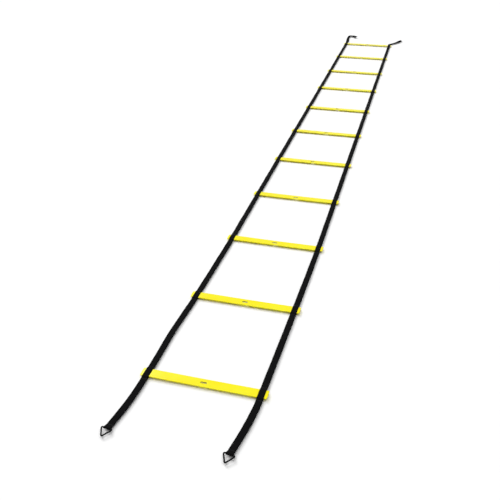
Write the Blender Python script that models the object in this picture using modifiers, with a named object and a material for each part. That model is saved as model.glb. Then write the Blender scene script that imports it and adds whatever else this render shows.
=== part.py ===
"""An agility ladder: eleven flat plastic rungs held between the layers of two long webbing straps.

Metres, +Z up. X runs along the rungs and Y along the ladder, with the triangular rings at -Y and
the free tails at +Y. The ladder lies flat at z = 0, and the origin is the middle of the floor that
its box covers. It is worked out with rung 6 at zero and moved to that origin at the end.
"""

from math import atan, cos, pi, radians, sin, sqrt

import bmesh
import bpy
from mathutils import Matrix, Vector

# Driving dimensions, in metres and degrees
rung_count = 11
still_rung = 6
rung_spacing = 0.500
strap_spacing = 0.424
clearance = 0.0003

# Rungs: flat moulded bars with round corners and a small slot in the middle
rung_length = 0.470
rung_width = 0.040
rung_thickness = 0.003
rung_corner_radius = 0.005
rung_edge_bevel = 0.0005
slot_length = 0.022
slot_width = 0.007

# Straps: webbing in two layers, sewn together in front of and behind each rung
webbing_width = 0.025
webbing_thickness = 0.0014
pocket_fit = 0.0005
pocket_slope_length = 0.009
tail_start_margin = 0.016

# How the ladder lies: straight from rung 3 on, with a slow bend to the left before it, and with
# the left strap bowed out a little in the first bay
straight_from_rung = 3
sweep_length = 1.0
sweep_side = 0.0185
sweep_power = 1.25
first_bay_bow = 0.005

# Near tails: from rung 1 to the ring's bar, each curving a little further to the left, with the
# last part before the ring turning back a little
near_tail_length = 0.279
left_near_tail_side = 0.0219
left_near_tail_curl = 2.6
left_near_tail_tip = 0.0045
right_near_tail_side = 0.0268
right_near_tail_curl = 1.6
right_near_tail_tip = 0.0015
near_tail_tip_start = 0.7
loop_close_length = 0.014

# Far tails: the points of each route are shares of its reach, first sideways and then along,
# counted from where the strap leaves rung 11
left_far_tail_reach = 0.287
left_far_tail_shares = [(0, 0), (0, 0.04), (0, 0.08), (-0.014, 0.24), (-0.039, 0.53), (-0.053, 0.825),
                        (-0.018, 0.985), (0.087, 0.954), (0.231, 0.815)]
right_far_tail_reach = 0.182
right_far_tail_shares = [(0, 0), (0, 0.04), (0, 0.08), (0.052, 0.168), (0.188, 0.342), (0.355, 0.58),
                         (0.574, 1)]
left_far_tail_lean = 27.0
left_lean_start_share = 0.62
right_far_tail_lean = 20.0
right_lean_start_share = 0.25
hem_length = 0.030

# Rings: bent round wire, their tips on the floor
ring_side = 0.042
ring_wire_diameter = 0.005
ring_bend_radius = 0.0035

# Bar tacks: dense bands of thread across the webbing
tack_length = 0.019
tack_width = 0.0025
tack_height = 0.0004
tack_margin = 0.003

# Fold lines: how far a folded piece stays above or below what it folds on
fold_gap = 0.0005
far_tail_fold_gap = 0.0021

# Counts that set how fine the curves are
corner_steps = 3
slot_end_steps = 6
slope_steps = 4
loop_steps = 8
bend_steps = 4
curve_steps = 8
tail_step = 0.022
far_tail_step = 0.014
bay_steps = 4
weld_distance = 0.00001

# Heights that follow from the layers
layer_pitch = webbing_thickness + clearance
lower_layer_z = webbing_thickness / 2
upper_layer_z = lower_layer_z + layer_pitch
strap_top_z = upper_layer_z + webbing_thickness / 2
rung_bottom_z = layer_pitch
rung_middle_z = rung_bottom_z + rung_thickness / 2
over_rung_z = rung_bottom_z + rung_thickness + clearance + webbing_thickness / 2
over_rung_top_z = over_rung_z + webbing_thickness / 2
fold_up_z = over_rung_top_z + fold_gap
fold_down_z = -fold_gap
far_tail_fold_z = over_rung_top_z + far_tail_fold_gap

# Lengths along a strap that follow from the rung it holds
pocket_inner = rung_width / 2 + pocket_fit
pocket_outer = pocket_inner + pocket_slope_length
tail_start = pocket_outer + tail_start_margin

# The loop of webbing round a ring's bar
ring_wire_radius = ring_wire_diameter / 2
loop_radius = ring_wire_radius + clearance + webbing_thickness / 2
bar_z = lower_layer_z + loop_radius

ACROSS = Vector((1, 0, 0))
ALONG = Vector((0, 1, 0))
UP = Vector((0, 0, 1))
YELLOW = (0.93, 0.84, 0.03, 1)
BLACK = (0.018, 0.018, 0.02, 1)
THREAD = (0.03, 0.03, 0.033, 1)
STEEL = (0.02, 0.02, 0.022, 1)


def rung_y(number):
    """Where a rung lies along the ladder, with the middle one at zero."""
    return (number - (rung_count + 1) / 2) * rung_spacing


def fold_y(number):
    """The middle of the bay between a rung and the next one."""
    return rung_y(number) + rung_spacing / 2


def sweep(along):
    """How far the ladder has moved to the side at a place, and how fast it moves there."""
    run = max(0.0, rung_y(straight_from_rung) - along) / sweep_length
    drift = sweep_power * sweep_side * run ** (sweep_power - 1) / sweep_length
    return -sweep_side * run ** sweep_power, drift


def on_ladder(across, along, height=0.0):
    """A point given across, along and above the ladder as it lies."""
    return Vector((sweep(along)[0] + across, along, height))


def ladder_place(side):
    """The frame of one strap: for a length along it, its middle, its width's direction and up."""
    def place(along):
        share = min(max((along - rung_y(1)) / rung_spacing, 0.0), 1.0)
        bow = first_bay_bow * sin(pi * share) ** 2 if side < 0 else 0.0
        return on_ladder(side * strap_spacing / 2 - bow, along), ACROSS, UP
    return place


def near_tail_place(side, shift, curl, tip):
    """The frame of a near tail, for a length counted from rung 1 towards the ring."""
    start = on_ladder(side * strap_spacing / 2, rung_y(1))
    drift = sweep(rung_y(1))[1]
    reach = near_tail_length - tail_start

    def place(length):
        run = max(0.0, length - tail_start) / reach
        late = max(0.0, run - near_tail_tip_start) / (1 - near_tail_tip_start)
        sideways = drift * length + shift * run ** curl - tip * late ** 2
        rate = curl * shift * run ** (curl - 1) - 2 * tip * late / (1 - near_tail_tip_start)
        turn = atan(rate / reach)
        origin = start - ALONG * length - ACROSS * sideways
        return origin, ACROSS * cos(turn) - ALONG * sin(turn), UP
    return place


def smooth_path(points):
    """Points along one smooth curve through the given ones."""
    padded = [2 * points[0] - points[1], *points, 2 * points[-1] - points[-2]]
    path = []
    for a, b, c, d in zip(padded, padded[1:], padded[2:], padded[3:]):
        for step in range(curve_steps):
            t = step / curve_steps
            bend = (2 * a - 5 * b + 4 * c - d) * t ** 2 + (3 * b - a - 3 * c + d) * t ** 3
            path.append((2 * b + (c - a) * t + bend) / 2)
    path.append(points[-1].copy())
    return path


def far_tail_place(side, reach, shares, lean, lean_start_share):
    """The frame of a far tail, for a length counted from where it leaves the last rung.

    The strap's outer edge rises from a share of its length on, up to the given lean.
    """
    start = on_ladder(side * strap_spacing / 2, rung_y(rung_count) + tail_start)
    path = smooth_path([start + Vector((x * reach, y * reach, 0)) for x, y in shares])
    lengths = [0.0]
    for a, b in zip(path, path[1:]):
        lengths.append(lengths[-1] + (b - a).length)

    def place(length):
        index = 0
        while index < len(path) - 2 and lengths[index + 1] < length:
            index += 1
        share = (length - lengths[index]) / (lengths[index + 1] - lengths[index])
        before = path[max(index - 1, 0)]
        after = path[min(index + 2, len(path) - 1)]
        first = (path[index + 1] - before).normalized()
        second = (after - path[index]).normalized()
        tangent = first.lerp(second, share).normalized()
        flat = Vector((tangent.y, -tangent.x, 0))
        grown = (length / lengths[-1] - lean_start_share) / (1 - lean_start_share)
        grown = min(max(grown, 0.0), 1.0)
        angle = radians(lean) * grown ** 2 * (3 - 2 * grown)
        origin = path[index].lerp(path[index + 1], share)
        origin.z = webbing_width / 2 * sin(angle)
        return origin, flat * cos(angle) - UP * sin(angle), flat * sin(angle) + UP * cos(angle)
    return place, lengths[-1]


def paint(piece, colour, roughness, metallic=0.0):
    """Give a piece its own Principled material."""
    material = bpy.data.materials.new(piece.name + "_finish")
    material.use_nodes = True
    shader = material.node_tree.nodes["Principled BSDF"]
    shader.inputs["Base Color"].default_value = colour
    shader.inputs["Roughness"].default_value = roughness
    shader.inputs["Metallic"].default_value = metallic
    material.diffuse_color = colour
    piece.data.materials.append(material)


def add_mesh(name, bm):
    """Turn a bmesh into a named object in the ladder's collection."""
    mesh = bpy.data.meshes.new(name)
    bm.to_mesh(mesh)
    bm.free()
    piece = bpy.data.objects.new(name, mesh)
    ladder.objects.link(piece)
    return piece


def add_strip(bm, stations, place):
    """Add one sheet of webbing: a grid that follows stations of (length, height) along a strap."""
    made = bmesh.ops.create_grid(bm, x_segments=len(stations) - 1, y_segments=1, size=1)
    for vert in made["verts"]:
        index = round((vert.co.x + 1) / 2 * (len(stations) - 1))
        length, height = stations[index]
        origin, across, up = place(length)
        edge = webbing_width / 2 if vert.co.y > 0 else -webbing_width / 2
        vert.co = origin + across * edge + up * height


def add_folded(name, stations, place):
    """A folded webbing: one sheet laid along its stations, made as thick as the webbing."""
    bm = bmesh.new()
    add_strip(bm, stations, place)
    piece = add_mesh(name, bm)
    solid = piece.modifiers.new("webbing thickness", "SOLIDIFY")
    solid.thickness = webbing_thickness
    solid.offset = 0
    solid.use_even_offset = True
    paint(piece, BLACK, 0.85)
    return piece


def even_steps(start, end, count):
    """Lengths from start to end in equal steps, both ends included."""
    return [start + (end - start) * step / count for step in range(count + 1)]


def slope(start, end, low, high):
    """Stations of a soft slope between two heights."""
    stations = []
    for step in range(slope_steps + 1):
        share = step / slope_steps
        rise = (1 - cos(pi * share)) / 2
        stations.append((start + (end - start) * share, low + (high - low) * rise))
    return stations


def strap_outlines(number):
    """The side view of one strap round one rung: its outline, and the pocket that the rung is in.

    The two layers lie on each other and are sewn together, except round the rung.
    """
    middle = rung_y(number)
    near = middle - (tail_start if number == 1 else rung_spacing / 2) + clearance / 2
    far = middle + (tail_start if number == rung_count else rung_spacing / 2) - clearance / 2
    outer = [(y, 0.0) for y in even_steps(near, far, bay_steps)]
    outer.append((far, strap_top_z))
    outer += slope(middle + pocket_outer, middle + pocket_inner, strap_top_z, over_rung_top_z)
    outer += slope(middle - pocket_inner, middle - pocket_outer, over_rung_top_z, strap_top_z)
    outer.append((near, strap_top_z))
    roof = over_rung_top_z - webbing_thickness
    inner = pocket_outer - pocket_slope_length / slope_steps
    pocket = [(middle + inner, webbing_thickness)]
    pocket += slope(middle + inner, middle + pocket_inner, webbing_thickness, roof)[1:]
    pocket += slope(middle - pocket_inner, middle - inner, roof, webbing_thickness)
    return [outer, pocket]


def add_strap(name, number, place):
    """One strap round one rung, cut from its side view and laid along the ladder's sweep."""
    curve = flat_curve(name, strap_outlines(number), webbing_width)
    guide = bpy.data.objects.new(name + "_guide", curve)
    ladder.objects.link(guide)
    graph = bpy.context.evaluated_depsgraph_get()
    mesh = bpy.data.meshes.new_from_object(guide.evaluated_get(graph))
    bpy.data.objects.remove(guide, do_unlink=True)
    bm = bmesh.new()
    bm.from_mesh(mesh)
    bmesh.ops.remove_doubles(bm, verts=bm.verts, dist=weld_distance)
    for vert in bm.verts:
        origin, across, up = place(vert.co.x)
        vert.co = origin + across * vert.co.z + up * vert.co.y
    piece = add_mesh(name, bm)
    paint(piece, BLACK, 0.85)
    return piece


def near_tail_stations():
    """One webbing from rung 1 to the ring, round the ring's bar and back on top of itself."""
    start = tail_start + clearance / 2
    count = round((near_tail_length - start) / tail_step)
    stations = [(length, lower_layer_z) for length in even_steps(start, near_tail_length, count)]
    for step in range(1, loop_steps + 1):
        angle = pi * step / loop_steps
        stations.append((near_tail_length + loop_radius * sin(angle),
                         bar_z - loop_radius * cos(angle)))
    closed = near_tail_length - loop_close_length
    stations += slope(near_tail_length, closed, bar_z + loop_radius, upper_layer_z)[1:]
    back = round((closed - start) / tail_step)
    stations += [(length, upper_layer_z) for length in even_steps(closed, start, back)[1:]]
    return stations


def far_tail_stations(length):
    """One webbing out to the hem at the tail's end and back on top of itself."""
    turn_radius = layer_pitch / 2
    start = clearance / 2
    end = length - turn_radius
    count = round((end - start) / far_tail_step)
    stations = [(s, lower_layer_z) for s in even_steps(start, end, count)]
    for step in range(1, bend_steps):
        angle = pi * step / bend_steps
        stations.append((end + turn_radius * sin(angle),
                         lower_layer_z + turn_radius * (1 - cos(angle))))
    stations += [(s, upper_layer_z) for s in even_steps(end, start, count)]
    return stations


def add_tack(name, place, length):
    """A bar tack: a dense band of thread across the top of a strap, at a length along it."""
    origin, across, up = place(length)
    along = up.cross(across)
    height = strap_top_z + clearance + tack_height / 2
    frame = Matrix((across * tack_length, along * tack_width, up * tack_height)).transposed()
    bm = bmesh.new()
    matrix = Matrix.Translation(origin + up * height) @ frame.to_4x4()
    bmesh.ops.create_cube(bm, size=1, matrix=matrix)
    piece = add_mesh(name, bm)
    paint(piece, THREAD, 0.6)
    return piece


def flat_curve(name, outlines, thickness):
    """A flat shape from closed outlines, the later ones holes in the first."""
    curve = bpy.data.curves.new(name, "CURVE")
    curve.dimensions = "2D"
    curve.fill_mode = "BOTH"
    curve.extrude = thickness / 2
    for outline in outlines:
        spline = curve.splines.new("POLY")
        spline.points.add(len(outline) - 1)
        for point, (x, y) in zip(spline.points, outline):
            point.co = (x, y, 0, 1)
        spline.use_cyclic_u = True
    return curve


def arc(centre, radius, start, turn, steps):
    """Points along an arc about a centre, from a start angle through a turn."""
    angles = [start + turn * step / steps for step in range(steps + 1)]
    return [(centre[0] + radius * cos(angle), centre[1] + radius * sin(angle)) for angle in angles]


def rung_outlines():
    """The rung's round-cornered outline and its slot, seen from above.

    The curve's bevel grows the outline and narrows the slot, so both leave room for it.
    """
    radius = rung_corner_radius - rung_edge_bevel
    x = rung_length / 2 - rung_corner_radius
    y = rung_width / 2 - rung_corner_radius
    outer = []
    for quarter, centre in enumerate([(x, y), (-x, y), (-x, -y), (x, -y)]):
        outer += arc(centre, radius, quarter * pi / 2, pi / 2, corner_steps)
    middle = (slot_length - slot_width) / 2
    end = slot_width / 2 + rung_edge_bevel
    slot = arc((middle, 0), end, -pi / 2, pi, slot_end_steps)
    slot += arc((-middle, 0), end, pi / 2, pi, slot_end_steps)
    return [outer, slot]


def add_rung(number):
    """One flat rung, lying square to the straps, between their layers."""
    name = f"rung_{number:02d}"
    curve = flat_curve(name, rung_outlines(), rung_thickness - 2 * rung_edge_bevel)
    curve.bevel_depth = rung_edge_bevel
    curve.bevel_resolution = 0
    piece = bpy.data.objects.new(name, curve)
    ladder.objects.link(piece)
    piece.location = on_ladder(0, rung_y(number), rung_middle_z)
    paint(piece, YELLOW, 0.4)
    return piece


def ring_outline():
    """The middle line of a ring's wire, its bar on the x axis and its tip towards -y."""
    height = ring_side * sqrt(3) / 2
    corners = [Vector((ring_side / 2, 0)), Vector((-ring_side / 2, 0)), Vector((0, -height))]
    middle = sum(corners, Vector((0, 0))) / 3
    points = []
    for number, vertex in enumerate(corners):
        centre = vertex + (middle - vertex).normalized() * ring_bend_radius * 2
        start = -pi / 6 + number * pi * 2 / 3
        points += arc(centre, ring_bend_radius, start, pi * 2 / 3, bend_steps)
    return points, height


def add_ring(name, place):
    """One wire ring, hanging in the end of a near tail with its tip on the floor."""
    points, height = ring_outline()
    curve = bpy.data.curves.new(name, "CURVE")
    curve.dimensions = "3D"
    curve.bevel_depth = ring_wire_radius
    curve.bevel_resolution = 2
    spline = curve.splines.new("POLY")
    spline.points.add(len(points) - 1)
    for point, (x, y) in zip(spline.points, points):
        point.co = (x, y, 0, 1)
    spline.use_cyclic_u = True
    piece = bpy.data.objects.new(name, curve)
    ladder.objects.link(piece)
    origin, across, up = place(near_tail_length)
    tip_reach = height - ring_bend_radius
    tilt = atan((bar_z - ring_wire_radius - clearance) / tip_reach)
    turned = Matrix((across, up.cross(across), up)).transposed().to_4x4()
    piece.matrix_world = (Matrix.Translation(origin + up * bar_z) @ turned
                          @ Matrix.Rotation(tilt, 4, "X"))
    paint(piece, STEEL, 0.35, 0.9)
    return piece


def add_axis(name, place, direction):
    """An empty on a fold line, its x axis along the line."""
    axis = bpy.data.objects.new(name, None)
    axis.empty_display_size = webbing_width
    ladder.objects.link(axis)
    frame = Matrix((direction, UP.cross(direction), UP)).transposed().to_4x4()
    axis.matrix_world = Matrix.Translation(place) @ frame
    return axis


def hang(child, parent):
    """Make a child follow a parent without moving it."""
    bpy.context.view_layer.update()
    child.parent = parent
    child.matrix_parent_inverse = parent.matrix_world.inverted()


def add_section(number, body):
    """A rung and the two straps round it, moving as one body."""
    for side, side_name in ((-1, "left"), (1, "right")):
        name = f"{side_name}_webbing_{number:02d}"
        hang(add_strap(name, number, ladder_place(side)), body)
    hang(add_rung(number), body)


def add_near_tail(side, side_name, section, shift, curl, tip):
    """The tail in front of rung 1 with its stitching, and the ring that swings in its end."""
    place = near_tail_place(side, shift, curl, tip)
    axis = add_axis(f"{side_name}_near_tail_axis", place(tail_start)[0] + UP * fold_up_z, ACROSS)
    hang(axis, section)
    hang(add_folded(f"{side_name}_near_tail", near_tail_stations(), place), axis)
    closed = near_tail_length - loop_close_length - tack_margin
    hang(add_tack(f"{side_name}_near_tack", place, closed), axis)
    origin, across, up = place(near_tail_length)
    ring_axis = add_axis(f"{side_name}_ring_axis", origin + up * bar_z, -across)
    hang(ring_axis, axis)
    hang(add_ring(f"{side_name}_ring", place), ring_axis)


def add_far_tail(side, side_name, section, route, leaning):
    """The free tail behind the last rung, hemmed at its end."""
    place, length = far_tail_place(side, *route, *leaning)
    axis = add_axis(f"{side_name}_far_tail_axis", place(0)[0] + UP * far_tail_fold_z, -ACROSS)
    hang(axis, section)
    hang(add_folded(f"{side_name}_far_tail", far_tail_stations(length), place), axis)
    hang(add_tack(f"{side_name}_far_tack", place, length - hem_length), axis)


def box_of(pieces):
    """The lowest and highest corners of the pieces as they are drawn."""
    bpy.context.view_layer.update()
    graph = bpy.context.evaluated_depsgraph_get()
    points = []
    for piece in pieces:
        drawn = piece.evaluated_get(graph)
        mesh = drawn.to_mesh()
        points += [drawn.matrix_world @ vert.co for vert in mesh.vertices]
        drawn.to_mesh_clear()
    low = Vector([min(point[i] for point in points) for i in range(3)])
    high = Vector([max(point[i] for point in points) for i in range(3)])
    return low, high


def add_fold(number, section, towards):
    """The fold line between a rung and the next one, for what lies beyond it, at +y (1) or -y (-1)."""
    upwards = number % 2 == 1
    place = on_ladder(0, fold_y(number), fold_up_z if upwards else fold_down_z)
    axis = add_axis(f"fold_{number:02d}_axis", place, ACROSS * (towards if upwards else -towards))
    hang(axis, section)
    return axis


def build():
    """The whole ladder: each section hangs on the one before it, counted from the still one."""
    root = bpy.data.objects.new("ladder_origin", None)
    ladder.objects.link(root)
    sections = {still_rung: root}
    for number in range(still_rung + 1, rung_count + 1):
        sections[number] = add_fold(number - 1, sections[number - 1], 1)
    for number in range(still_rung - 1, 0, -1):
        sections[number] = add_fold(number, sections[number + 1], -1)
    for number in sorted(sections):
        add_section(number, sections[number])
    add_near_tail(-1, "left", sections[1], left_near_tail_side, left_near_tail_curl,
                  left_near_tail_tip)
    add_near_tail(1, "right", sections[1], right_near_tail_side, right_near_tail_curl,
                  right_near_tail_tip)
    add_far_tail(-1, "left", sections[rung_count], (left_far_tail_reach, left_far_tail_shares),
                 (left_far_tail_lean, left_lean_start_share))
    add_far_tail(1, "right", sections[rung_count], (right_far_tail_reach, right_far_tail_shares),
                 (right_far_tail_lean, right_lean_start_share))
    low, high = box_of([piece for piece in ladder.objects if piece.type != "EMPTY"])
    middle = (low + high) / 2
    root.location = (-middle.x, -middle.y, -low.z)
    bpy.context.view_layer.update()
    print("size", [round(value, 4) for value in high - low])
    for piece in ladder.objects:
        if piece.type == "EMPTY":
            place = piece.matrix_world.translation
            print(piece.name, [round(value, 5) for value in place])


for leftover in list(bpy.data.objects):
    bpy.data.objects.remove(leftover, do_unlink=True)
ladder = bpy.data.collections.new("agility_ladder")
bpy.context.scene.collection.children.link(ladder)
build()
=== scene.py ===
# %% [markdown]
# # Dressing an agility ladder
#
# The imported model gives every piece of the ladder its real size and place: eleven flat plastic
# rungs, two long webbing straps and a wire ring at the near end of each strap. This lesson keeps
# those places and builds what the eye sees on top of them: woven webbing in two layers, stitched
# on both sides of every rung, moulded plastic and coated wire. All lengths are in metres.

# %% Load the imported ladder
import math

import bpy
import bmesh
from mathutils import Matrix, Vector


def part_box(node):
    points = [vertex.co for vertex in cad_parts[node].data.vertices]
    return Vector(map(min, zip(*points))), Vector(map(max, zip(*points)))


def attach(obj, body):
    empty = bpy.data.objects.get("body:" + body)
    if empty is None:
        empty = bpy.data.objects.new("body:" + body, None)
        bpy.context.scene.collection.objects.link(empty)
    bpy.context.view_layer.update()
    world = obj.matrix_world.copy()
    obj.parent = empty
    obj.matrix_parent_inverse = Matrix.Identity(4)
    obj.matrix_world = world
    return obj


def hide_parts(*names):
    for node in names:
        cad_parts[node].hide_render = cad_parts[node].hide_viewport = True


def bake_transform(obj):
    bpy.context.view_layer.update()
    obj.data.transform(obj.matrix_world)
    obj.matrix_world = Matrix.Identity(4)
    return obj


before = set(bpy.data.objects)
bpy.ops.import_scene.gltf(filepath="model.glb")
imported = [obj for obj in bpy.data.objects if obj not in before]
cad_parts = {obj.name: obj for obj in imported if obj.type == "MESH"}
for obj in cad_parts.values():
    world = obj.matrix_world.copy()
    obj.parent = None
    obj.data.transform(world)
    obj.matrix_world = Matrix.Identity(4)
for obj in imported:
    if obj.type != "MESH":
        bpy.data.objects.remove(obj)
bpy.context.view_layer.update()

# %% [markdown]
# ## Measuring the ladder
#
# The sizes that the model already holds are read from its boxes, so they are written only once.
# The ladder lies straight from rung 3 on and bends slowly to the left before it. Zero is in the
# middle of the space that it takes up, on its underside, and X runs along the rungs.

# %% Read the ladder's own sizes
rung_count = sum(name.startswith("rung_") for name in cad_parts)


def middle_of(node):
    """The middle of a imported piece's box."""
    low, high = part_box(node)
    return (low + high) / 2


def size_of(node):
    """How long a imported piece's box is each way."""
    low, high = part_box(node)
    return high - low


rung_middles = [middle_of(f"rung_{number:02d}") for number in range(1, rung_count + 1)]
middle_rung = rung_middles[rung_count // 2]
rung_spacing = rung_middles[1].y - rung_middles[0].y
rung_length, rung_width, rung_thickness = size_of("rung_06")
webbing_width = size_of("left_webbing_06").x
strap_sides = {
    "left": middle_of("left_webbing_06").x - middle_rung.x,
    "right": middle_of("right_webbing_06").x - middle_rung.x,
}
underside_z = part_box("left_webbing_06")[0].z
ladder_start = Vector((middle_rung.x, rung_middles[0].y, underside_z))
print("rungs every %.3f m, webbing %.1f mm wide" % (rung_spacing, webbing_width * 1000))

# %% [markdown]
# ## The camera
#
# The view is from eye level at the ladder's near end, a little to its right, looking down along
# it. A camera can be placed by eye, or solved from points whose real places are known. Here the
# 22 crossings of straps and rungs gave the lens and the place, so the drawn ladder falls on the
# photographed one. The camera's place is counted from the middle rung, on the ladder's underside.

# %% Set the camera up
lens_mm = 45.54
sensor_mm = 36.0
camera_from_middle = Vector((0.5907, -4.0517, 1.5662))
camera_down = math.radians(31.471)
camera_left = math.radians(15.638)
camera_roll = math.radians(-0.579)

camera_data = bpy.data.cameras.new("camera")
camera_data.lens = lens_mm
camera_data.sensor_width = sensor_mm
camera = bpy.data.objects.new("camera", camera_data)
bpy.context.scene.collection.objects.link(camera)
middle_place = Vector((middle_rung.x, middle_rung.y, underside_z))
camera.matrix_world = (
    Matrix.Translation(middle_place + camera_from_middle)
    @ Matrix.Rotation(camera_left, 4, "Z")
    @ Matrix.Rotation(math.pi / 2 - camera_down, 4, "X")
    @ Matrix.Rotation(camera_roll, 4, "Z")
)
bpy.context.scene.camera = camera
bpy.context.scene.view_settings.view_transform = "Standard"
print("camera %.2f m above the ladder's underside" % camera_from_middle.z)

# %% [markdown]
# ## Small helpers for materials
#
# Colours are picked in sRGB, as a screen shows them, and shaders want linear light, so one
# function turns a hex value into a linear colour, by the curve that the sRGB standard gives. A
# second one adds a node with its settings and links: each input is either a value or the output of
# another node. Nodes could also be linked by hand in the shader editor, but a script that names
# each link can be read from top to bottom.


# %% Colour and node helpers
def linear(hex_colour):
    """A linear colour from an sRGB hex value such as #FDEC00."""
    channels = [int(hex_colour[place:place + 2], 16) / 255 for place in (1, 3, 5)]
    light = [c / 12.92 if c <= 0.04045 else ((c + 0.055) / 1.055) ** 2.4 for c in channels]
    return (*light, 1.0)


def add_node(tree, kind, inputs=None, **settings):
    """A new node in a tree, with its settings, and inputs by their socket's name or number."""
    node = tree.nodes.new(kind)
    for name, value in settings.items():
        setattr(node, name, value)
    for name, value in (inputs or {}).items():
        if isinstance(value, bpy.types.NodeSocket):
            tree.links.new(value, node.inputs[name])
        else:
            node.inputs[name].default_value = value
    return node


def new_material(name):
    """A new material, with its node tree and its Principled shader."""
    material = bpy.data.materials.new(name)
    material.use_nodes = True
    return material, material.node_tree, material.node_tree.nodes["Principled BSDF"]


print("a yellow in linear light:", [round(value, 3) for value in linear("#FDEC00")])

# %% [markdown]
# ## The floor
#
# The ladder lies on paper white. A studio would use a roll of paper that curves up behind the
# object, but a flat floor that runs far past the view does the same for a ladder seen from above.
# It lies 7.5 mm below the straps: the half of the ladder that folds under the other half needs
# that room, and the shadows fall softer.

# %% Lay the floor
floor_drop = 0.0075
floor_half = 40.0

floor_mesh = bpy.data.meshes.new("floor")
bm = bmesh.new()
bmesh.ops.create_grid(bm, x_segments=1, y_segments=1, size=floor_half)
bm.to_mesh(floor_mesh)
bm.free()
floor = bpy.data.objects.new("floor", floor_mesh)
floor.location = (0, 0, underside_z - floor_drop)
bpy.context.scene.collection.objects.link(floor)

floor_finish, tree, shader = new_material("white_studio_floor")
shader.inputs["Base Color"].default_value = linear("#FFFFFF")
shader.inputs["Roughness"].default_value = 0.9
shader.inputs["Specular IOR Level"].default_value = 0.0
floor_mesh.materials.append(floor_finish)
print("floor %.1f mm below the straps" % (floor_drop * 1000))

# %% [markdown]
# ## The light
#
# A wide lamp behind the ladder on the left gives the soft shadows that fall to the right and
# towards the viewer, and a white ceiling fills the rest. The ceiling is brightest overhead and
# fades towards the walls, so little light creeps under the rungs, and their slots and front edges
# stay dark. A sky picture could give the same light, but a height raised to a power needs no file.
# The camera and shiny faces see plain white instead of that ceiling, and the lamp leaves a pale
# sheen on the left of the nearest rung. Lamp and ceiling together are as bright as paper white,
# so colours come out about as they are written.

# %% Light the room
wall_level = 0.02
ceiling_level = 2.31
overhead_power = 4.0
key_strength = 1.29
key_angle = 26.0
key_from = Vector((-0.56, 0.58, 0.62))

world = bpy.data.worlds.new("white_room")
bpy.context.scene.world = world
world.use_nodes = True
tree = world.node_tree
rays = add_node(tree, "ShaderNodeLightPath")
seen = add_node(tree, "ShaderNodeMath", {
    0: rays.outputs["Is Camera Ray"], 1: rays.outputs["Is Glossy Ray"]}, operation="MAXIMUM")
seen = add_node(tree, "ShaderNodeMath", {
    0: seen.outputs[0], 1: rays.outputs["Is Transmission Ray"]}, operation="MAXIMUM")
towards = add_node(tree, "ShaderNodeTexCoord")
axes = add_node(tree, "ShaderNodeSeparateXYZ", {0: towards.outputs["Generated"]})
height = add_node(tree, "ShaderNodeMath", {0: axes.outputs["Z"], 1: overhead_power},
                  operation="POWER")
room = add_node(tree, "ShaderNodeMapRange", {"Value": height.outputs[0], "To Min": wall_level,
                                             "To Max": ceiling_level})
level = add_node(tree, "ShaderNodeMix", {"Factor": seen.outputs[0], "A": room.outputs[0],
                                         "B": 1.0})
sky = tree.nodes["Background"]
sky.inputs["Color"].default_value = (1, 1, 1, 1)
tree.links.new(level.outputs[0], sky.inputs["Strength"])

key_data = bpy.data.lights.new("key", "SUN")
key_data.energy = key_strength
key_data.angle = math.radians(key_angle)
key = bpy.data.objects.new("key", key_data)
key.rotation_mode = "QUATERNION"
key.rotation_quaternion = key_from.to_track_quat("Z", "Y")
bpy.context.scene.collection.objects.link(key)
key_height = math.degrees(math.asin(key_from.normalized().z))
print("key lamp %.0f degrees above the floor" % key_height)

# %% [markdown]
# ## The webbing's finish
#
# The straps are polypropylene webbing: dull black yarn, woven on a narrow loom. Warp yarns run
# along the strap and the weft crosses over and under them, so the face is a fine chequer of small
# humps. The gaps between the humps are painted darker, as painted shade, and the face is painted
# darker towards the round selvedges, as painted shade where they turn from the light. A picture of
# a weave could be laid on it, but it would need a flat layout and would blur close by, so the
# chequer is two sine waves multiplied. Each point of the webbing carries its own place across,
# along and through the strap, which keeps the weave in place when the strap folds.

# %% Weave the black webbing
# Real yarns lie about 1.2 mm apart, too fine to show, so they are drawn about twice as coarse.
warp_spacing = 0.0021
weft_spacing = 0.0026
yarn_depth = 0.0003
# Fibres of 0.05 mm are too fine too, so tufts of 0.7 mm stand for them.
tufts_per_metre = 1400.0
tuft_share = 0.35
worn_patches_per_metre = 22.0
# The face is painted darker over this width at each selvedge, as painted shade.
selvedge_shade_width = 0.0016
yarn_hex = "#18181A"
worn_hex = "#101011"
# Painted shade in the gaps between the yarns' humps:
gap_shade_hex = "#080808"
# Painted shade towards the round selvedges:
selvedge_shade_hex = "#0C0C0D"

webbing_finish, tree, shader = new_material("woven_black_polypropylene")
place = add_node(tree, "ShaderNodeAttribute", attribute_name="webbing_place")
axes = add_node(tree, "ShaderNodeSeparateXYZ", {0: place.outputs["Vector"]})
across_turns = add_node(tree, "ShaderNodeMath", {0: axes.outputs["X"], 1: math.pi / warp_spacing},
                        operation="MULTIPLY")
along_turns = add_node(tree, "ShaderNodeMath", {0: axes.outputs["Y"], 1: math.pi / weft_spacing},
                       operation="MULTIPLY")
across_wave = add_node(tree, "ShaderNodeMath", {0: across_turns.outputs[0]}, operation="SINE")
along_wave = add_node(tree, "ShaderNodeMath", {0: along_turns.outputs[0]}, operation="SINE")
chequer = add_node(tree, "ShaderNodeMath", {0: across_wave.outputs[0], 1: along_wave.outputs[0]},
                   operation="MULTIPLY")
humps = add_node(tree, "ShaderNodeMath", {0: chequer.outputs[0]}, operation="ABSOLUTE")
tufts = add_node(tree, "ShaderNodeTexNoise", {
    "Vector": place.outputs["Vector"], "Scale": tufts_per_metre, "Detail": 2.0, "Roughness": 0.6})
height = add_node(tree, "ShaderNodeMath", {0: tufts.outputs[0], 1: tuft_share,
                                           2: humps.outputs[0]}, operation="MULTIPLY_ADD")
wear = add_node(tree, "ShaderNodeTexNoise", {
    "Vector": place.outputs["Vector"], "Scale": worn_patches_per_metre, "Detail": 3.0,
    "Roughness": 0.55})
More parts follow.
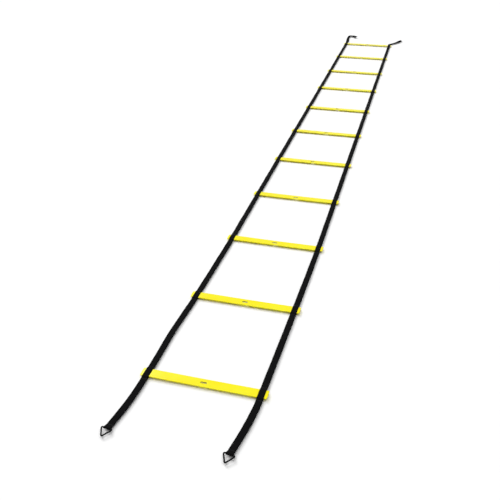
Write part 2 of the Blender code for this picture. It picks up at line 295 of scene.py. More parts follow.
yarn = add_node(tree, "ShaderNodeMix", {"Factor": wear.outputs[0], "A": linear(yarn_hex),
                                        "B": linear(worn_hex)}, data_type="RGBA")
# The gaps between the humps are painted darker than the yarn: painted shade.
face = add_node(tree, "ShaderNodeMix", {"Factor": humps.outputs[0], "A": linear(gap_shade_hex),
                                        "B": yarn.outputs[2]}, data_type="RGBA")
# Towards each selvedge the face is painted darker: painted shade where the round edge turns from
# the light.
from_middle = add_node(tree, "ShaderNodeMath", {0: axes.outputs["X"]}, operation="ABSOLUTE")
edge = add_node(tree, "ShaderNodeMapRange", {
    "Value": from_middle.outputs[0], "From Min": webbing_width / 2 - 2 * selvedge_shade_width,
    "From Max": webbing_width / 2 - selvedge_shade_width})
cloth = add_node(tree, "ShaderNodeMix", {"Factor": edge.outputs[0], "A": face.outputs[2],
                                         "B": linear(selvedge_shade_hex)}, data_type="RGBA")
bump = add_node(tree, "ShaderNodeBump", {"Height": height.outputs[0], "Distance": yarn_depth,
                                         "Strength": 0.8})
tree.links.new(cloth.outputs[2], shader.inputs["Base Color"])
tree.links.new(bump.outputs[0], shader.inputs["Normal"])
shader.inputs["Roughness"].default_value = 0.85
shader.inputs["Specular IOR Level"].default_value = 0.04
print("warp yarns drawn across the webbing:", round(webbing_width / warp_spacing))

# %% [markdown]
# ## The thread's finish
#
# The bar tacks are sewn with bonded polyester thread. Bonding glues the fibres together, so the
# thread is smoother and a touch shinier than the webbing, and it stands out a little from it. The
# light and dark of its twist could be modelled as two plies, but the strokes are only half a
# millimetre thick, so a fine noise in the colour is enough.

# %% Finish the thread
twists_per_metre = 900.0
thread_hex = "#1A1A1C"
lit_twist_hex = "#303034"

thread_finish, tree, shader = new_material("bonded_black_thread")
where = add_node(tree, "ShaderNodeTexCoord")
twist = add_node(tree, "ShaderNodeTexNoise", {
    "Vector": where.outputs["Object"], "Scale": twists_per_metre, "Detail": 2.0})
tone = add_node(tree, "ShaderNodeMix", {"Factor": twist.outputs[0], "A": linear(thread_hex),
                                        "B": linear(lit_twist_hex)}, data_type="RGBA")
tree.links.new(tone.outputs[2], shader.inputs["Base Color"])
shader.inputs["Roughness"].default_value = 0.5
shader.inputs["Specular IOR Level"].default_value = 0.35
print("thread twisted every %.1f mm" % (1000 / twists_per_metre))

# %% [markdown]
# ## The plastic's finish
#
# The rungs are injection-moulded polypropylene in a strong yellow: the mould leaves a smooth face
# with a fine grain, glossy enough to catch the lamp, and the colour drifts slightly along each
# rung. One noise makes the drift of both colour and gloss, as in real plastic, where a paler patch
# is a slightly rougher one. The slot's walls and rim are painted near black, as painted shade in
# the slot. The shade could be a second material on the slot's faces, but measured by its distance
# from the slot it needs no picking of faces and has a soft edge.

# %% Finish the moulded plastic
# The grain of the mould is about 0.1 mm wide, so it is drawn coarser and very shallow.
grain_size = 0.0009
grain_depth = 0.00004
drift_size = 0.09
yellow_hex = "#FDEC00"
lemon_hex = "#F9F31E"
# Painted shade: the slot's walls and rim are painted this near black.
slot_shade_hex = "#14120A"
slot_length = 0.022
slot_width = 0.007
slot_shade_reach = 0.0009

plastic_finish, tree, shader = new_material("moulded_yellow_polypropylene")
where = add_node(tree, "ShaderNodeTexCoord")
grain = add_node(tree, "ShaderNodeTexNoise", {"Vector": where.outputs["Object"],
                                              "Scale": 1 / grain_size, "Detail": 1.0})
drift = add_node(tree, "ShaderNodeTexNoise", {"Vector": where.outputs["Object"],
                                              "Scale": 1 / drift_size, "Detail": 2.0})
patches = add_node(tree, "ShaderNodeMapRange", {"Value": drift.outputs[0], "From Min": 0.3,
                                                "From Max": 0.7})
yellow = add_node(tree, "ShaderNodeMix", {"Factor": patches.outputs[0], "A": linear(yellow_hex),
                                          "B": linear(lemon_hex)}, data_type="RGBA")
axes = add_node(tree, "ShaderNodeSeparateXYZ", {0: where.outputs["Object"]})
along = add_node(tree, "ShaderNodeMath", {0: axes.outputs["X"]}, operation="ABSOLUTE")
beyond = add_node(tree, "ShaderNodeMath", {
    0: along.outputs[0], 1: (slot_length - slot_width) / 2}, operation="SUBTRACT")
beyond = add_node(tree, "ShaderNodeMath", {0: beyond.outputs[0], 1: 0.0}, operation="MAXIMUM")
from_slot = add_node(tree, "ShaderNodeCombineXYZ", {"X": beyond.outputs[0],
                                                    "Y": axes.outputs["Y"]})
from_slot = add_node(tree, "ShaderNodeVectorMath", {0: from_slot.outputs[0]}, operation="LENGTH")
# Painted shade in the slot: near black on its walls, fading out over its rim.
slot_shade = add_node(tree, "ShaderNodeMapRange", {
    "Value": from_slot.outputs["Value"], "From Min": slot_width / 2 + slot_shade_reach / 2,
    "From Max": slot_width / 2 + slot_shade_reach, "To Min": 1.0, "To Max": 0.0})
tone = add_node(tree, "ShaderNodeMix", {"Factor": slot_shade.outputs[0], "A": yellow.outputs[2],
                                        "B": linear(slot_shade_hex)}, data_type="RGBA")
gloss = add_node(tree, "ShaderNodeMapRange", {"Value": drift.outputs[0], "To Min": 0.16,
                                              "To Max": 0.26})
bump = add_node(tree, "ShaderNodeBump", {"Height": grain.outputs[0], "Distance": grain_depth,
                                         "Strength": 0.35})
tree.links.new(tone.outputs[2], shader.inputs["Base Color"])
tree.links.new(gloss.outputs[0], shader.inputs["Roughness"])
tree.links.new(bump.outputs[0], shader.inputs["Normal"])
shader.inputs["IOR"].default_value = 1.49
shader.inputs["Specular IOR Level"].default_value = 0.2
print("plastic drawn with a grain of %.1f mm" % (grain_size * 1000))

# %% [markdown]
# ## The coated wire's finish
#
# The rings are bent steel wire, dipped in a black coating that keeps rust off. The coating hides
# the steel, so it is no metal to the eye: it is smooth and dull, with shallow ripples where it ran
# while it was wet. The same noise makes the ripples, their gloss and a painted highlight that makes
# their crests slightly lighter.

# %% Finish the coated wire
ripples_per_metre = 260.0
ripple_depth = 0.0002
coating_hex = "#060606"
# Painted highlight on the ripples' crests:
crest_highlight_hex = "#111112"

wire_finish, tree, shader = new_material("black_coated_steel_wire")
where = add_node(tree, "ShaderNodeTexCoord")
ripples = add_node(tree, "ShaderNodeTexNoise", {
    "Vector": where.outputs["Object"], "Scale": ripples_per_metre, "Detail": 2.0})
# The ripples' crests are painted slightly lighter: a painted highlight.
tone = add_node(tree, "ShaderNodeMix", {"Factor": ripples.outputs[0], "A": linear(coating_hex),
                                        "B": linear(crest_highlight_hex)}, data_type="RGBA")
gloss = add_node(tree, "ShaderNodeMapRange", {"Value": ripples.outputs[0], "To Min": 0.45,
                                              "To Max": 0.6})
bump = add_node(tree, "ShaderNodeBump", {"Height": ripples.outputs[0], "Distance": ripple_depth,
                                         "Strength": 0.4})
tree.links.new(tone.outputs[2], shader.inputs["Base Color"])
tree.links.new(gloss.outputs[0], shader.inputs["Roughness"])
tree.links.new(bump.outputs[0], shader.inputs["Normal"])
shader.inputs["Specular IOR Level"].default_value = 0.08
print("finishes:", sorted(material.name for material in bpy.data.materials if material.users))

# %% [markdown]
# ## Where each strap runs
#
# A strap is one long webbing. It is described by a single length, its run, which is zero at rung
# 1, falls towards the ring and grows towards the far end. For any run, one function gives the
# strap's middle at the height of its underside, the direction of its width and the direction out
# of its face. A curve object with a bevel could follow the same line, but it can't lay one layer on
# the other, climb over a rung or lean on edge, so the webbing is built from these frames. The sweep
# is the ladder's slow bend in front of rung 3, and the bow a slight bend of the left strap alone
# between rungs 1 and 2.

# %% Measure the straps' long parts
sweep_length = 2 * rung_spacing
sweep_side = middle_rung.x - rung_middles[0].x
sweep_power = 1.25
first_bay_bow = 0.005
tail_start = 0.0455
far_start = (rung_count - 1) * rung_spacing + tail_start
upright = Vector((0, 0, 1))


def swept(side, run):
    """The strap's middle line on the ladder itself, with its slow bend at the near end."""
    share = max(0.0, sweep_length - run) / sweep_length
    x = strap_sides[side] - sweep_side * share ** sweep_power
    if side == "left" and 0 < run < rung_spacing:
        x -= first_bay_bow * math.sin(math.pi * run / rung_spacing) ** 2
    return ladder_start + Vector((x, run, 0))


print("left strap, to the side of straight at rung 1: %.1f mm" % (
    1000 * (swept("left", 0).x - ladder_start.x - strap_sides["left"])))

# %% [markdown]
# ## The far tails' route
#
# The far tails lie as they fell: the left one turns at its top and stands a little on edge, the
# right one slants away. Each follows one smooth curve through a few points, given as shares of how
# far the tail reaches. A curve object is shaped by handles that lie beside its line. This curve
# passes through every point instead, so the points can be read off a picture.

# %% Draw the far tails' route
far_reaches = {"left": 0.287, "right": 0.182}
far_shares = {
    "left": [(0, 0), (0, 0.04), (0, 0.08), (-0.014, 0.24), (-0.039, 0.53), (-0.053, 0.825),
             (-0.018, 0.985), (0.087, 0.954), (0.231, 0.815)],
    "right": [(0, 0), (0, 0.04), (0, 0.08), (0.052, 0.168), (0.188, 0.342), (0.355, 0.58),
              (0.574, 1)],
}
route_steps = 24


def smooth_route(points):
    """Points along one smooth curve through the given ones."""
    padded = [2 * points[0] - points[1], *points, 2 * points[-1] - points[-2]]
    route = []
    for a, b, c, d in zip(padded, padded[1:], padded[2:], padded[3:]):
        for step in range(route_steps):
            t = step / route_steps
            bend = (2 * a - 5 * b + 4 * c - d) * t ** 2 + (3 * b - a - 3 * c + d) * t ** 3
            route.append((2 * b + (c - a) * t + bend) / 2)
    return route + [points[-1].copy()]


far_routes = {}
far_lengths = {}
for side in strap_sides:
    start = swept(side, far_start)
    reach = far_reaches[side]
    route = smooth_route([start + Vector((x * reach, y * reach, 0)) for x, y in far_shares[side]])
    lengths = [0.0]
    for a, b in zip(route, route[1:]):
        lengths.append(lengths[-1] + (b - a).length)
    far_routes[side] = list(zip(lengths, route))
    far_lengths[side] = lengths[-1]
print("far tails:", {side: round(length, 3) for side, length in far_lengths.items()})

# %% [markdown]
# ## A frame anywhere on a strap
#
# Near the ring each strap curves to the left and then back a little. The shift is how far it
# curves, the curl how late it does, and the tip how far its end turns back. At the far end the
# lean is how many degrees the tail stands on edge, and from what share of its length it rises.

# %% Find a strap's frame at any run
near_tail_length = 0.279
near_curves = {"left": (0.0219, 2.6, 0.0045), "right": (0.0268, 1.6, 0.0015)}
near_tip_start = 0.7
far_leans = {"left": (27.0, 0.62), "right": (20.0, 0.25)}


def near_frame(side, length):
    """The frame of a near tail, for a length counted from rung 1 towards the ring."""
    shift, curl, tip = near_curves[side]
    reach = near_tail_length - tail_start
    share = max(0.0, length - tail_start) / reach
    late = max(0.0, share - near_tip_start) / (1 - near_tip_start)
    sideways = sweep_power * sweep_side / sweep_length * length
    sideways += shift * share ** curl - tip * late ** 2
    rate = curl * shift * share ** (curl - 1) - 2 * tip * late / (1 - near_tip_start)
    turn = math.atan(rate / reach)
    middle = swept(side, 0) + Vector((-sideways, -length, 0))
    return middle, Vector((math.cos(turn), -math.sin(turn), 0)), upright


def far_frame(side, length):
    """The frame of a far tail, for a length counted from where it leaves the last rung."""
    route = far_routes[side]
    index = 0
    while index < len(route) - 2 and route[index + 1][0] < length:
        index += 1
    (low, start), (high, end) = route[index], route[index + 1]
    share = (length - low) / (high - low)
    before = route[max(index - 1, 0)][1]
    after = route[min(index + 2, len(route) - 1)][1]
    tangent = (end - before).normalized().lerp((after - start).normalized(), share).normalized()
    flat = Vector((tangent.y, -tangent.x, 0))
    lean, lean_from = far_leans[side]
    grown = min(max((length / far_lengths[side] - lean_from) / (1 - lean_from), 0.0), 1.0)
    angle = math.radians(lean) * grown ** 2 * (3 - 2 * grown)
    middle = start.lerp(end, share)
    middle.z += webbing_width / 2 * math.sin(angle)
    return (middle, flat * math.cos(angle) - upright * math.sin(angle),
            flat * math.sin(angle) + upright * math.cos(angle))


def strap_frame(side, run):
    """A strap's middle at its underside, its width's direction and its face's, at a run."""
    if run < -tail_start:
        return near_frame(side, -run)
    if run > far_start:
        return far_frame(side, run - far_start)
    return swept(side, run), Vector((1, 0, 0)), upright


tip_face = strap_frame("left", far_start + far_lengths["left"])[2]
print("left tail's tip leans %.0f degrees" % math.degrees(tip_face.angle(upright)))

# %% [markdown]
# ## Two layers of webbing
#
# Between the rungs the two layers lie on each other, and a rung sits in a pocket between them. The
# lower one runs straight on. The upper one climbs over each rung and comes down to the stitching on
# its other side, which presses both layers flat. Cloth simulation could drape the upper layer, but
# webbing is stiff and the slope is short, so a soft step in its height is as true and stays exact.

# %% Describe the heights of the layers
webbing_thickness = 0.0014
layer_gap = 0.03 * webbing_thickness
rung_gap = 0.04 * webbing_thickness
rest_height = {"lower": webbing_thickness / 2, "upper": 1.5 * webbing_thickness + layer_gap}
rung_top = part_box("rung_06")[1].z - underside_z
over_rung_height = rung_top + webbing_thickness / 2 + rung_gap
pocket_inner = rung_width / 2 + 0.0003
pocket_slope = 0.0092
tack_offset = 0.0325
tack_reach = 0.0028
tack_press = 0.14


def rung_offset(run):
    """How far a run is from the nearest rung's middle."""
    nearest = min(max(round(run / rung_spacing), 0), rung_count - 1)
    return abs(run - nearest * rung_spacing)


def soft_step(value, low, high):
    """Zero below low, one above high and a soft rise between them."""
    share = min(max((value - low) / (high - low), 0.0), 1.0)
    return share * share * (3 - 2 * share)


def pressed(run):
    """One where stitching presses the webbing, falling to zero beside it."""
    from_tack = abs(rung_offset(run) - tack_offset)
    return 1 - soft_step(from_tack, tack_reach / 2, 2 * tack_reach)


print("upper layer %.2f mm high over a rung" % (over_rung_height * 1000))

# %% [markdown]
# ## Waves and play
#
# Real webbing is never quite straight: the upper layer lifts by a few tenths of a millimetre here
# and there, and the layers don't line up perfectly at their edges. A random noise could do this,
# but two slow waves of unlike lengths look as irregular and are the same in every run. Both die
# out towards the stitching, and the phases keep the two straps from looking alike.

# %% Describe waves and play
wave_height = 0.0004
wave_lengths = (0.113, 0.047)
wave_phases = {"left": 1.3, "right": 4.1}
wave_from = tack_offset + 0.006
wave_full = tack_offset + 0.05
side_play = 0.0003
play_length = 0.19
play_phases = {"lower": 0.4, "upper": 2.2, "left": 1.7, "right": 0.0}
play_full = tack_offset + 0.06


def layer_height(layer, side, run):
    """How far a layer's middle is above the strap's underside."""
    offset = rung_offset(run)
    height = rest_height[layer] * (1 - tack_press / 2 * pressed(run))
    if layer == "lower":
        return height
    climb = soft_step(offset, pocket_inner, pocket_inner + pocket_slope)
    waves = [1 - math.cos(2 * math.pi * run / length + wave_phases[side])
             for length in wave_lengths]
    free = soft_step(offset, wave_from, wave_full)
    height += free * wave_height * sum(waves) / (2 * len(waves))
    return over_rung_height + (height - over_rung_height) * climb


def layer_play(layer, side, run):
    """How far a layer strays to the side, zero where it is stitched."""
    phase = play_phases[layer] + play_phases[side]
    free = soft_step(rung_offset(run), tack_offset, play_full)
    return side_play * free * math.sin(2 * math.pi * run / play_length + phase)


def station(layer, side, run):
    """Where a layer is at a run: its middle, its width's direction and how flat it is pressed."""
    middle, across, up = strap_frame(side, run)
    point = middle + up * layer_height(layer, side, run) + across * layer_play(layer, side, run)
    return point, across, 1 - tack_press * pressed(run)


print("upper layer %.2f mm high between rungs" % (layer_height("upper", "left", 0.25) * 1000))

# %% [markdown]
# ## Lofting the webbing
#
# Webbing has round selvedges and a face that is very slightly crowned, so a flat box would look
# like tape. The cross-section is drawn once, as two faces and two half-round edges, and carried
# along the stations. Every point keeps its place across, along and through the strap, for the
# weave.

# %% Loft a webbing along its stations
face_columns = 6
edge_steps = 3
crown = 0.00008


def cross_section():
    """The webbing's outline, as places across its width and through its thickness."""
    radius = webbing_thickness / 2
    half = webbing_width / 2 - radius
    across = [half * (2 * column / face_columns - 1) for column in range(face_columns + 1)]
    top = [(x, radius + crown * (1 - (x / half) ** 2)) for x in across]
    turn = [math.pi / 2 - math.pi * step / edge_steps for step in range(1, edge_steps)]
    right = [(half + radius * math.cos(angle), radius * math.sin(angle)) for angle in turn]
    upper = top + right
    return upper + [(-x, -y) for x, y in upper]


def add_webbing(bm, stations, first_run):
    """Carry the cross-section along the stations, closed at both ends."""
    outline = cross_section()
    layer = bm.verts.layers.float_vector["webbing_place"]
    last = len(stations) - 1
    rings = []
    travel = first_run
    for index, (point, across, flatness) in enumerate(stations):
        tangent = stations[min(index + 1, last)][0] - stations[max(index - 1, 0)][0]
        outwards = across.cross(tangent).normalized()
        travel += (point - stations[max(index - 1, 0)][0]).length
        ring = []
        for x, y in outline:
            vert = bm.verts.new(point + across * x + outwards * y * flatness)
            vert[layer] = (x, travel, y)
            ring.append(vert)
        rings.append(ring)
    for ring, following in zip(rings, rings[1:]):
        for index in range(len(ring)):
            beside = (index + 1) % len(ring)
            bm.faces.new((ring[index], ring[beside], following[beside], following[index]))
    bm.faces.new(reversed(rings[0]))
    bm.faces.new(rings[-1])


print("points in the cross-section:", len(cross_section()))

# %% [markdown]
# ## Choosing the stations
#
# A loft is only as smooth as its stations are close. Stations at one even spacing would waste
# thousands of faces on straight webbing, so they lie closest at the folds, close at the rungs'
# edges, where the upper layer climbs, and far apart along the bays.

# %% Choose the stations
bay_step = 0.0075
close_step = 0.0013
climb_margin = 0.002
fold_steps = 16
fold_length = {"over": 0.008, "under": 0.005, "tail": 0.012}
fold_places = [((number + 0.5) * rung_spacing, fold_length["under" if number % 2 else "over"])
               for number in range(rung_count - 1)]
fold_places += [(-tail_start, fold_length["tail"]), (far_start, fold_length["tail"])]


def step_from(run):
    """How far the next station is from this run."""
    for place, length in fold_places:
        away = abs(run - place) - length / 2
        if away < close_step:
            return length / fold_steps
        if away < bay_step:
            return close_step
    climb_start = pocket_inner - climb_margin
    climb_end = tack_offset + 2 * tack_reach
    climbs = [climb_start < rung_offset(at) < climb_end for at in (run, run + bay_step)]
    return close_step if any(climbs) else bay_step


def runs_between(start, end):
    """Runs from start to end, close together where the strap bends."""
    runs = [start]
    while end - runs[-1] > close_step:
        runs.append(min(runs[-1] + step_from(runs[-1]), end))
    runs[-1] = end
    return runs


print("stations along a bay:", len(runs_between(tack_offset, rung_spacing + tack_offset)))

# %% [markdown]
# ## One piece of webbing
#
# Both layers of a bay go into one mesh, so they bend together. Smooth shading alone would round
# the cut ends as well, so edges sharper than the selvedges' own steps stay crisp.

# %% Make a piece of webbing
crisp_angle = math.radians(62)


def webbing_piece(name, lofts):
    """One named piece of webbing from lofts of (stations, first run)."""
    bm = bmesh.new()
    bm.verts.layers.float_vector.new("webbing_place")
    for stations, first_run in lofts:
        add_webbing(bm, stations, first_run)
    bmesh.ops.recalc_face_normals(bm, faces=bm.faces)
    mesh = bpy.data.meshes.new(name)
    bm.to_mesh(mesh)
    bm.free()
    mesh.shade_smooth()
    mesh.set_sharp_from_angle(angle=crisp_angle)
    mesh.materials.append(webbing_finish)
    piece = bpy.data.objects.new(name, mesh)
    bpy.context.scene.collection.objects.link(piece)
    return piece


print("edges sharper than %.0f degrees stay crisp" % math.degrees(crisp_angle))

# %% [markdown]
# ## Straps that fold
#
# The ladder folds in the middle of each bay, so every bay's webbing is made as one piece. Two stiff
# halves with a hinge would be simpler, but they would tear apart at the fold. Where one piece ends
# and the next starts, the bar tack on the far side of each rung hides it. A fold that goes over the
# ladder turns in a wider loop than one that goes under it, because the rungs' thickness lies inside
# the loop. The bays take turns as folds that go over and under, but here each piece only has its
# place baked into its mesh and is not set to bend.

# %% Lay the webbing of the bays
def rung_run(number):
    """The run at a rung's middle."""
    return (number - 1) * rung_spacing


def bend_piece(piece, side, run, fold):
    """Bake a piece's place into its mesh; the piece is not set to bend."""
    near = strap_frame(side, run)[0] - Vector((0, fold_length[fold] / 2, 0))
    if fold == "under":
        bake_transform(piece)
    else:
        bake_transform(piece)


for side in strap_sides:
    for number in range(1, rung_count):
        start = rung_run(number) + tack_offset
        last_bay = number == rung_count - 1
        end = rung_run(number + 1) + (-tack_offset if last_bay else tack_offset)
        lofts = [([station(layer, side, run) for run in runs_between(start, end)], start)
                 for layer in ("lower", "upper")]
        piece = webbing_piece(f"{side}_webbing_bay_{number:02d}", lofts)
        fold = "over" if number % 2 else "under"
        bend_piece(piece, side,
                   rung_run(number) + rung_spacing / 2, fold)
        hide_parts(f"{side}_webbing_{number:02d}", f"{side}_webbing_{number + 1:02d}")

# %% [markdown]
# ## The near tails and their loops
#
# In front of rung 1 each strap runs on to its ring, goes round the ring's bar and comes back on
# top of itself, as a real strap is threaded, so one loft makes both layers and the loop. The bar
# sits 279 mm from the rung.

# %% Lay the near tails
ring_wire_radius = 0.0027
bar_height = 0.0042
loop_play = 0.00005
loop_radius = ring_wire_radius + webbing_thickness / 2 + loop_play
loop_steps = 14
loop_start = 0.0005
loop_close = 0.014


def beside_loop(side, layer, run, bar_side):
    """A layer's station, drawn up or down to its side of the ring's bar near the loop."""
    point, across, flatness = station(layer, side, run)
    open_share = 1 - soft_step(run, -near_tail_length, -near_tail_length + loop_close)
    at_rest = rest_height["lower"] if layer == "lower" else layer_height("upper", side, run)
    lift = (bar_height + bar_side * loop_radius - at_rest) * open_share
    return point + upright * lift, across, flatness


def near_stations(side):
    """Lower layer towards the ring, round its bar, and back along the upper layer."""
    runs = runs_between(-near_tail_length + loop_start, tack_offset)
    stations = [beside_loop(side, "lower", run, -1) for run in reversed(runs)]
    middle, across, face = strap_frame(side, -near_tail_length)
    outwards = across.cross(face)
    for step in range(1, loop_steps):
        angle = math.pi * step / loop_steps
        reach = outwards * loop_radius * math.sin(angle)
        height = face * (bar_height - loop_radius * math.cos(angle))
        stations.append((middle + reach + height, across, 1.0))
    return stations + [beside_loop(side, "upper", run, 1) for run in runs]


for side in strap_sides:
    piece = webbing_piece(f"{side}_near_webbing", [(near_stations(side), tack_offset)])
    bend_piece(piece, side, -tail_start, "tail")
    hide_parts(f"{side}_near_tail", f"{side}_webbing_01")
print("near tail faces:", len(piece.data.polygons))

# %% [markdown]
# ## The far tails and their hems
#
# Behind rung 11 the straps end free. Each is folded once at its very end and sewn back on itself
# as a hem, which keeps the cut yarns from fraying. A tail curves all along its length, so its
# stations are evenly close, and the last step takes up what is left.

# %% Lay the far tails
hem_turn = (rest_height["upper"] - rest_height["lower"]) / 2
hem_steps = 6
tail_step = 0.004
longest_last_step = 1.5 * tail_step


def far_stations(side):
    """Lower layer to the tail's end, round the hem's fold, and back along the upper layer."""
    start = rung_run(rung_count) - tack_offset
    end = far_start + far_lengths[side] - hem_turn
    runs = runs_between(start, far_start + fold_length["tail"])
    while runs[-1] < end - longest_last_step:
        runs.append(runs[-1] + tail_step)
    runs.append(end)
    stations = [station("lower", side, run) for run in runs]
    middle, across, up = strap_frame(side, end)
    outwards = up.cross(across)
    for step in range(1, hem_steps):
        angle = math.pi * step / hem_steps
        reach = outwards * hem_turn * math.sin(angle)
        height = up * (rest_height["lower"] + hem_turn * (1 - math.cos(angle)))
        stations.append((middle + reach + height, across, 1.0))
    return stations + [station("upper", side, run) for run in reversed(runs)]


for side in strap_sides:
    first_run = rung_run(rung_count) - tack_offset
    piece = webbing_piece(f"{side}_far_webbing", [(far_stations(side), first_run)])
    bend_piece(piece, side, far_start, "tail")
    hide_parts(f"{side}_far_tail", f"{side}_webbing_{rung_count:02d}")
print("far tail faces:", len(piece.data.polygons))

# %% [markdown]
# ## Bar tacks
#
# A bar tack is a short zigzag that a machine sews to and fro over the same line. It could be
# painted on the webbing, but raised thread catches the light. So each one here is a curve with a
# round bevel that runs across the webbing in tight strokes, once on the top and once, where the
# bobbin thread shows, on the underside. The strokes sink into the soft webbing by part of the
# thread's thickness. There is one tack in front of each rung and one behind it, one that closes
# each ring's loop, and one on each hem.

# %% Sew the bar tacks
tack_width = 0.0195
tack_stroke = 0.0023
stroke_count = 34
thread_radius = 0.00028
thread_height = 0.35 * thread_radius
loop_tack = 0.017
hem_length = 0.030


def zigzag(side, run, face):
    """The points of one zigzag on the strap's top (1) or underside (-1)."""
    middle, across, up = strap_frame(side, run)
    along = up.cross(across)
    layer = "upper" if face > 0 else "lower"
    surface = webbing_thickness / 2 * (1 - tack_press) + thread_height
    height = layer_height(layer, side, run) + face * surface
    points = []
    for stroke in range(stroke_count + 1):
        x = tack_width * (stroke / stroke_count - 0.5)
        y = tack_stroke / 2 * (1 if stroke % 2 else -1)
        points.append(middle + across * x + along * y + up * height)
    return points


def bar_tack(name, side, run, body):
    """A bar tack across a strap, moving with a body."""
    curve = bpy.data.curves.new(name, "CURVE")
    curve.dimensions = "3D"
    curve.bevel_depth = thread_radius
    curve.bevel_resolution = 1
    curve.use_fill_caps = True
    for face in (1, -1):
        points = zigzag(side, run, face)
        spline = curve.splines.new("POLY")
        spline.points.add(len(points) - 1)
        for point, place in zip(spline.points, points):
            point.co = (*place, 1)
    curve.materials.append(thread_finish)
    piece = bpy.data.objects.new(name, curve)
    bpy.context.scene.collection.objects.link(piece)
    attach(piece, body)
    return piece


for side in strap_sides:
    for number in range(1, rung_count + 1):
        section = f"section_{number:02d}"
        run = rung_run(number)
        bar_tack(f"{side}_tack_{number:02d}_near", side, run - tack_offset, section)
        bar_tack(f"{side}_tack_{number:02d}_far", side, run + tack_offset, section)
    loop_run = -near_tail_length + loop_tack
    near = bar_tack(f"{side}_loop_tack", side, loop_run, f"{side}_near_tail")
    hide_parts(f"{side}_near_tack")
    hem_run = far_start + far_lengths[side] - hem_length
    far = bar_tack(f"{side}_hem_tack", side, hem_run, f"{side}_far_tail")
    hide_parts(f"{side}_far_tack")
tacks = [item for item in bpy.data.objects if item.type == "CURVE" and "tack" in item.name]
print("bar tacks:", len(tacks))

# %% [markdown]
# ## The wire rings
#
# Each ring is a length of 5 mm wire bent into a triangle and welded in the middle of its bar,
# where the webbing hides the weld. Its coating makes it a little thicker. Its bar is held up by the
# loop, and its tip comes down level with the straps' underside. A torus could be pulled into a
# triangle, but a closed curve with a round bevel keeps the wire evenly thick. Each corner is an
# arc. In a corner of 60 degrees the arc's centre lies two radii in from the corner.

# %% Bend the rings
ring_side = 0.042
ring_bend_radius = 0.0035
corner_steps = 9
corner_turn = math.radians(120)


def arc(centre, radius, start, turn, steps):
    """Points along an arc about a centre, from a start angle through a turn."""
    angles = [start + turn * step / steps for step in range(steps + 1)]
    return [(centre[0] + radius * math.cos(angle), centre[1] + radius * math.sin(angle))
            for angle in angles]


def ring_points():
    """The wire's middle line, with its bar on the x axis and its tip towards -y."""
    height = ring_side * math.sqrt(3) / 2
    corners = [Vector((ring_side / 2, 0)), Vector((-ring_side / 2, 0)), Vector((0, -height))]
    middle = sum(corners, Vector((0, 0))) / 3
    points = []
    for number, corner in enumerate(corners):
        centre = corner + (middle - corner).normalized() * ring_bend_radius * 2
        start = math.radians(-30) + number * corner_turn
        points += arc(centre, ring_bend_radius, start, corner_turn, corner_steps)
    return points, height


for side in strap_sides:
    points, height = ring_points()
    middle, across, face = strap_frame(side, -near_tail_length)
    tilt = math.atan((bar_height - ring_wire_radius) / (height - ring_bend_radius))
    turned = Matrix((across, face.cross(across), face)).transposed().to_4x4()
    place = (Matrix.Translation(middle + face * bar_height) @ turned
             @ Matrix.Rotation(tilt, 4, "X"))
    curve = bpy.data.curves.new(f"{side}_wire_ring", "CURVE")
    curve.dimensions = "3D"
    curve.bevel_depth = ring_wire_radius
    curve.bevel_resolution = 5
    spline = curve.splines.new("POLY")
    spline.points.add(len(points) - 1)
    for point, (x, y) in zip(spline.points, points):
        point.co = (*(place @ Vector((x, y, 0))), 1)
    spline.use_cyclic_u = True
    spline.use_smooth = True
    curve.materials.append(wire_finish)
    ring = bpy.data.objects.new(f"{side}_wire_ring", curve)
    bpy.context.scene.collection.objects.link(ring)
    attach(ring, f"{side}_ring")
    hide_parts(f"{side}_ring")
print("ring wire %.1f mm thick" % (2000 * ring_wire_radius))

# %% [markdown]
# ## A rung's outline
#
# A rung is a flat moulding with round corners, soft edges and a small slot in its middle. A box
# with a slot cut by a boolean would leave long thin faces, so the outline and the slot are one
# filled curve with a round bevel. The bevel makes the plate grow on every side, so the outline is
# drawn smaller and the slot wider by the bevel's radius.

# %% Draw a rung's outline
rung_corner_radius = 0.005
rung_edge_radius = 0.0009
round_steps = 8


def rung_outlines():
    """The rung's round-cornered outline and its slot, with room for the bevel to grow."""
    x = rung_length / 2 - rung_corner_radius
    y = rung_width / 2 - rung_corner_radius
    outer = []
    for quarter, centre in enumerate([(x, y), (-x, y), (-x, -y), (x, -y)]):
        outer += arc(centre, rung_corner_radius - rung_edge_radius, quarter * math.pi / 2,
                     math.pi / 2, round_steps)
    middle = (slot_length - slot_width) / 2
    end_radius = slot_width / 2 + rung_edge_radius
    slot = arc((middle, 0), end_radius, -math.pi / 2, math.pi, round_steps)
    slot += arc((-middle, 0), end_radius, math.pi / 2, math.pi, round_steps)
    return [outer, slot]


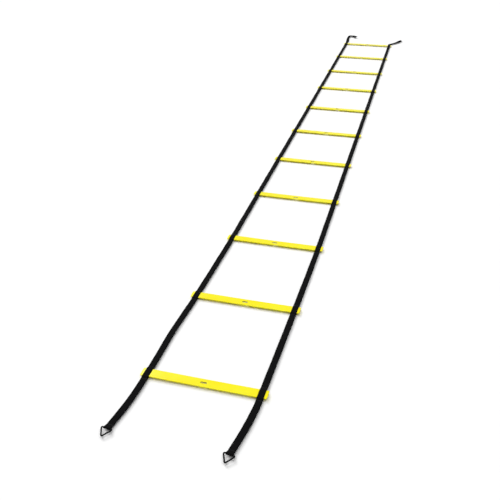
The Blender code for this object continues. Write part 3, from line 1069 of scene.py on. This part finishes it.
def rung_plate():
    """A flat rung's mesh, made from its filled outline."""
    curve = bpy.data.curves.new("rung_outline", "CURVE")
    curve.dimensions = "2D"
    curve.fill_mode = "BOTH"
    curve.extrude = rung_thickness / 2 - rung_edge_radius
    curve.bevel_depth = rung_edge_radius
    curve.bevel_resolution = 3
    for outline in rung_outlines():
        spline = curve.splines.new("POLY")
        spline.points.add(len(outline) - 1)
        for point, (x, y) in zip(spline.points, outline):
            point.co = (x, y, 0, 1)
        spline.use_cyclic_u = True
    guide = bpy.data.objects.new("rung_outline", curve)
    bpy.context.scene.collection.objects.link(guide)
    graph = bpy.context.evaluated_depsgraph_get()
    mesh = bpy.data.meshes.new_from_object(guide.evaluated_get(graph))
    bpy.data.objects.remove(guide, do_unlink=True)
    return mesh


plate = rung_plate()
print("faces on a flat rung:", len(plate.polygons))

# %% [markdown]
# ## The rungs
#
# A rung is only 3 mm thick over almost half a metre, so it sags a little between the straps. The
# flat plate has no points along its faces that could move, so it is first cut into 24 lengths. All
# eleven rungs come from one mould and share one mesh.

# %% Mould the rungs
rung_sag = 0.0007
rung_lengths = 24
merge_distance = 0.00001
rung_crisp_angle = math.radians(40)


def sagging(mesh):
    """Join a flat rung's loose edges, cut it into lengths and let it sag between the straps."""
    bm = bmesh.new()
    bm.from_mesh(mesh)
    bmesh.ops.remove_doubles(bm, verts=bm.verts, dist=merge_distance)
    for number in range(1, rung_lengths):
        x = rung_length * (number / rung_lengths - 0.5)
        everything = bm.verts[:] + bm.edges[:] + bm.faces[:]
        bmesh.ops.bisect_plane(bm, geom=everything, plane_co=(x, 0, 0), plane_no=(1, 0, 0))
    for vert in bm.verts:
        share = min(abs(vert.co.x) / strap_sides["right"], 1.0)
        vert.co.z -= rung_sag * (1 - share ** 2) ** 2
    bm.to_mesh(mesh)
    bm.free()
    mesh.shade_smooth()
    mesh.set_sharp_from_angle(angle=rung_crisp_angle)
    mesh.materials.clear()
    mesh.materials.append(plastic_finish)
    return mesh


moulding = sagging(plate)
for number, place in enumerate(rung_middles, start=1):
    rung = bpy.data.objects.new(f"rung_moulding_{number:02d}", moulding)
    rung.location = place
    bpy.context.scene.collection.objects.link(rung)
    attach(rung, f"section_{number:02d}")
    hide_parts(f"rung_{number:02d}")
print("faces on a rung:", len(moulding.polygons))
